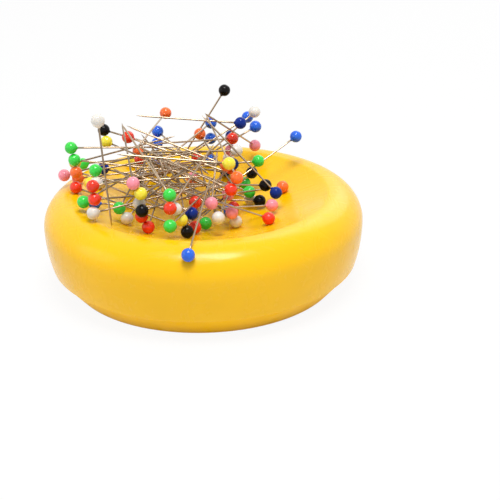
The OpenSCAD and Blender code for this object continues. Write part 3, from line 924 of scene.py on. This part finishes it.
class PINBOWL_OT_single_pins(bpy.types.Operator):
    """Build the pins that come away one by one"""
    bl_idname = "pinbowl.single_pins"
    bl_label = "Single pins"

    def execute(self, context):
        pins = context.scene.pinbowl_pins
        for body in SINGLE_PINS:
            head_node, shaft_node = body + "_head", body + "_shaft"
            tips, backs = pin_lines(shaft_node)
            middles, ways = head_places(tips, backs, pins.head_depth)
            colour_name = SLOT_OF[head_node][len(HEAD_SLOT):]
            make_heads(body + "_ball", middles, ways, colour_name, body, head_node)
            make_wires(body + "_wire", tips, backs, body, shaft_node)
        return {"FINISHED"}


# Stage

WHITE = (1.0, 1.0, 1.0, 1.0)

# The lamps, by the names that their places, sizes and powers start with
LAMPS = ("key", "side", "rear")

# Lines of the floor's grid each way, the camera's sensor in millimetres, and its near and far limits
FLOOR_LINES = 3
SENSOR_WIDTH = 36.0
CLIP = (0.01, 20.0)


def lamp(name, place, size, power, aim):
    """A round soft lamp that faces its aim."""
    light = bpy.data.lights.new(name, "AREA")
    light.shape = "DISK"
    light.size = size
    light.energy = power
    obj = bpy.data.objects.new(name, light)
    obj.location = place
    obj.rotation_mode = "QUATERNION"
    obj.rotation_quaternion = (aim - Vector(place)).to_track_quat("-Z", "Y")
    bpy.context.scene.collection.objects.link(obj)
    return obj


def seen_share(tree, level):
    """Level for rays that come from the camera, a gloss or a glass, and nothing for the others."""
    path = tree.nodes.new("ShaderNodeLightPath")
    seen = path.outputs["Is Camera Ray"]
    for kind in ("Is Glossy Ray", "Is Transmission Ray"):
        most = tree.nodes.new("ShaderNodeMath")
        most.operation = "MAXIMUM"
        tree.links.new(seen, most.inputs[0])
        tree.links.new(path.outputs[kind], most.inputs[1])
        seen = most.outputs["Value"]
    scaled = tree.nodes.new("ShaderNodeMath")
    scaled.operation = "MULTIPLY"
    scaled.inputs[1].default_value = level
    tree.links.new(seen, scaled.inputs[0])
    return scaled.outputs["Value"]


def finish_tree(tree, plain, seen, level, kind):
    """Sends the plain shader to an output of a kind, with a level of the seen one where it is seen."""
    mix = tree.nodes.new("ShaderNodeMixShader")
    out = tree.nodes.new(kind)
    tree.links.new(seen_share(tree, level), mix.inputs["Fac"])
    tree.links.new(plain, mix.inputs[1])
    tree.links.new(seen, mix.inputs[2])
    tree.links.new(mix.outputs["Shader"], out.inputs["Surface"])


def floor_material(stage):
    """Pale matt floor that shows a share of plain white and keeps the object's shadow."""
    material = bpy.data.materials.new("floor_pale")
    material.use_nodes = True
    tree = material.node_tree
    tree.nodes.clear()
    matt = tree.nodes.new("ShaderNodeBsdfDiffuse")
    matt.inputs["Color"].default_value = tuple(stage.floor_colour)
    white = tree.nodes.new("ShaderNodeEmission")
    finish_tree(tree, matt.outputs["BSDF"], white.outputs["Emission"], stage.floor_white,
                "ShaderNodeOutputMaterial")
    return material


def pale_world(stage):
    """Even light from all round, which the camera, gloss and glass see as white."""
    world = bpy.data.worlds.new("studio")
    world.use_nodes = True
    tree = world.node_tree
    tree.nodes.clear()
    dim = tree.nodes.new("ShaderNodeBackground")
    dim.inputs["Color"].default_value = WHITE
    dim.inputs["Strength"].default_value = stage.fill
    white = tree.nodes.new("ShaderNodeBackground")
    white.inputs["Color"].default_value = WHITE
    finish_tree(tree, dim.outputs["Background"], white.outputs["Background"], 1.0,
                "ShaderNodeOutputWorld")
    return world


def place_camera(scene, stage):
    """Camera in front of the bowl: back, up and right are turned by the elevation, then by the roll."""
    rise, roll = stage.elevation, stage.roll
    back = Vector((0.0, -math.cos(rise), math.sin(rise)))
    up = Vector((0.0, math.sin(rise), math.cos(rise)))
    right = Vector((1.0, 0.0, 0.0))
    across = right * math.cos(roll) - up * math.sin(roll)
    upward = right * math.sin(roll) + up * math.cos(roll)
    data = bpy.data.cameras.new("camera")
    data.lens = stage.lens
    data.sensor_width = SENSOR_WIDTH
    data.shift_x = stage.shift_x
    data.shift_y = stage.shift_y
    data.clip_start, data.clip_end = CLIP
    camera = bpy.data.objects.new("camera", data)
    turn = Matrix((across, upward, back)).transposed().to_4x4()
    middle = Vector((0.0, 0.0, stage.target_height)) + back * stage.distance
    camera.matrix_world = Matrix.Translation(middle) @ turn
    scene.collection.objects.link(camera)
    scene.camera = camera


class PINBOWL_OT_stage(bpy.types.Operator):
    """Set up the floor, the lamps and the camera"""
    bl_idname = "pinbowl.stage"
    bl_label = "Stage"

    def execute(self, context):
        stage = context.scene.pinbowl_stage
        spread = np.linspace(-stage.floor_size / 2, stage.floor_size / 2, FLOOR_LINES)
        x, y = np.meshgrid(spread, spread)
        corners = np.stack([x, y, 0 * x], axis=-1).reshape(-1, 3)
        firsts = np.arange(FLOOR_LINES ** 2).reshape(FLOOR_LINES, FLOOR_LINES)[:-1, :-1].ravel()
        quads = firsts[:, None] + [0, 1, FLOOR_LINES + 1, FLOOR_LINES]
        floor = mesh_object("floor", corners, quads.tolist())
        floor.data.materials.append(floor_material(stage))
        aim = Vector((0.0, 0.0, stage.lamp_aim))
        lamps = [lamp(name, getattr(stage, name + "_place"), getattr(stage, name + "_size"),
                      getattr(stage, name + "_power"), aim) for name in LAMPS]
        context.scene.world = pale_world(stage)
        place_camera(context.scene, stage)
        context.scene.view_settings.view_transform = "Standard"
        return {"FINISHED"}


# Add-on

class PINBOWL_PT_sidebar(bpy.types.Panel):
    """Buttons for each piece of the pin bowl, with the sizes and colours"""
    bl_idname = "PINBOWL_PT_sidebar"
    bl_label = "Pin bowl"
    bl_space_type = "VIEW_3D"
    bl_region_type = "UI"
    bl_category = "Pin bowl"

    def draw(self, context):
        layout = self.layout
        for operator in BUILD_ORDER:
            layout.operator(operator.bl_idname)
        for group_name, group in GROUPS.items():
            box = layout.box()
            box.label(text=group.__doc__)
            for key in group.__annotations__:
                box.prop(getattr(context.scene, group_name), key)


BUILD_ORDER = (PINBOWL_OT_shell, PINBOWL_OT_cover, PINBOWL_OT_magnet, PINBOWL_OT_fixings,
               PINBOWL_OT_heap, PINBOWL_OT_single_pins, PINBOWL_OT_stage)
GROUPS = {"pinbowl_bowl": BowlLooks, "pinbowl_inside": InsideLooks, "pinbowl_pins": PinLooks,
          "pinbowl_base": BaseLooks, "pinbowl_stage": StageLooks}


def register():
    """Registers the property groups, the operators and the panel."""
    for group_name, group in GROUPS.items():
        bpy.utils.register_class(group)
        setattr(bpy.types.Scene, group_name, PointerProperty(type=group))
    for operator in BUILD_ORDER:
        bpy.utils.register_class(operator)
    bpy.utils.register_class(PINBOWL_PT_sidebar)


def unregister():
    """Takes the panel, the operators and the property groups away again."""
    bpy.utils.unregister_class(PINBOWL_PT_sidebar)
    for operator in reversed(BUILD_ORDER):
        bpy.utils.unregister_class(operator)
    for group_name, group in GROUPS.items():
        delattr(bpy.types.Scene, group_name)
        bpy.utils.unregister_class(group)


def main():
    register()
    bpy.ops.pinbowl.shell()
    bpy.ops.pinbowl.cover()
    bpy.ops.pinbowl.magnet()
    bpy.ops.pinbowl.fixings()
    bpy.ops.pinbowl.heap()
    bpy.ops.pinbowl.single_pins()
    bpy.ops.pinbowl.stage()
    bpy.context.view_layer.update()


if __name__ == "__main__":
    main()
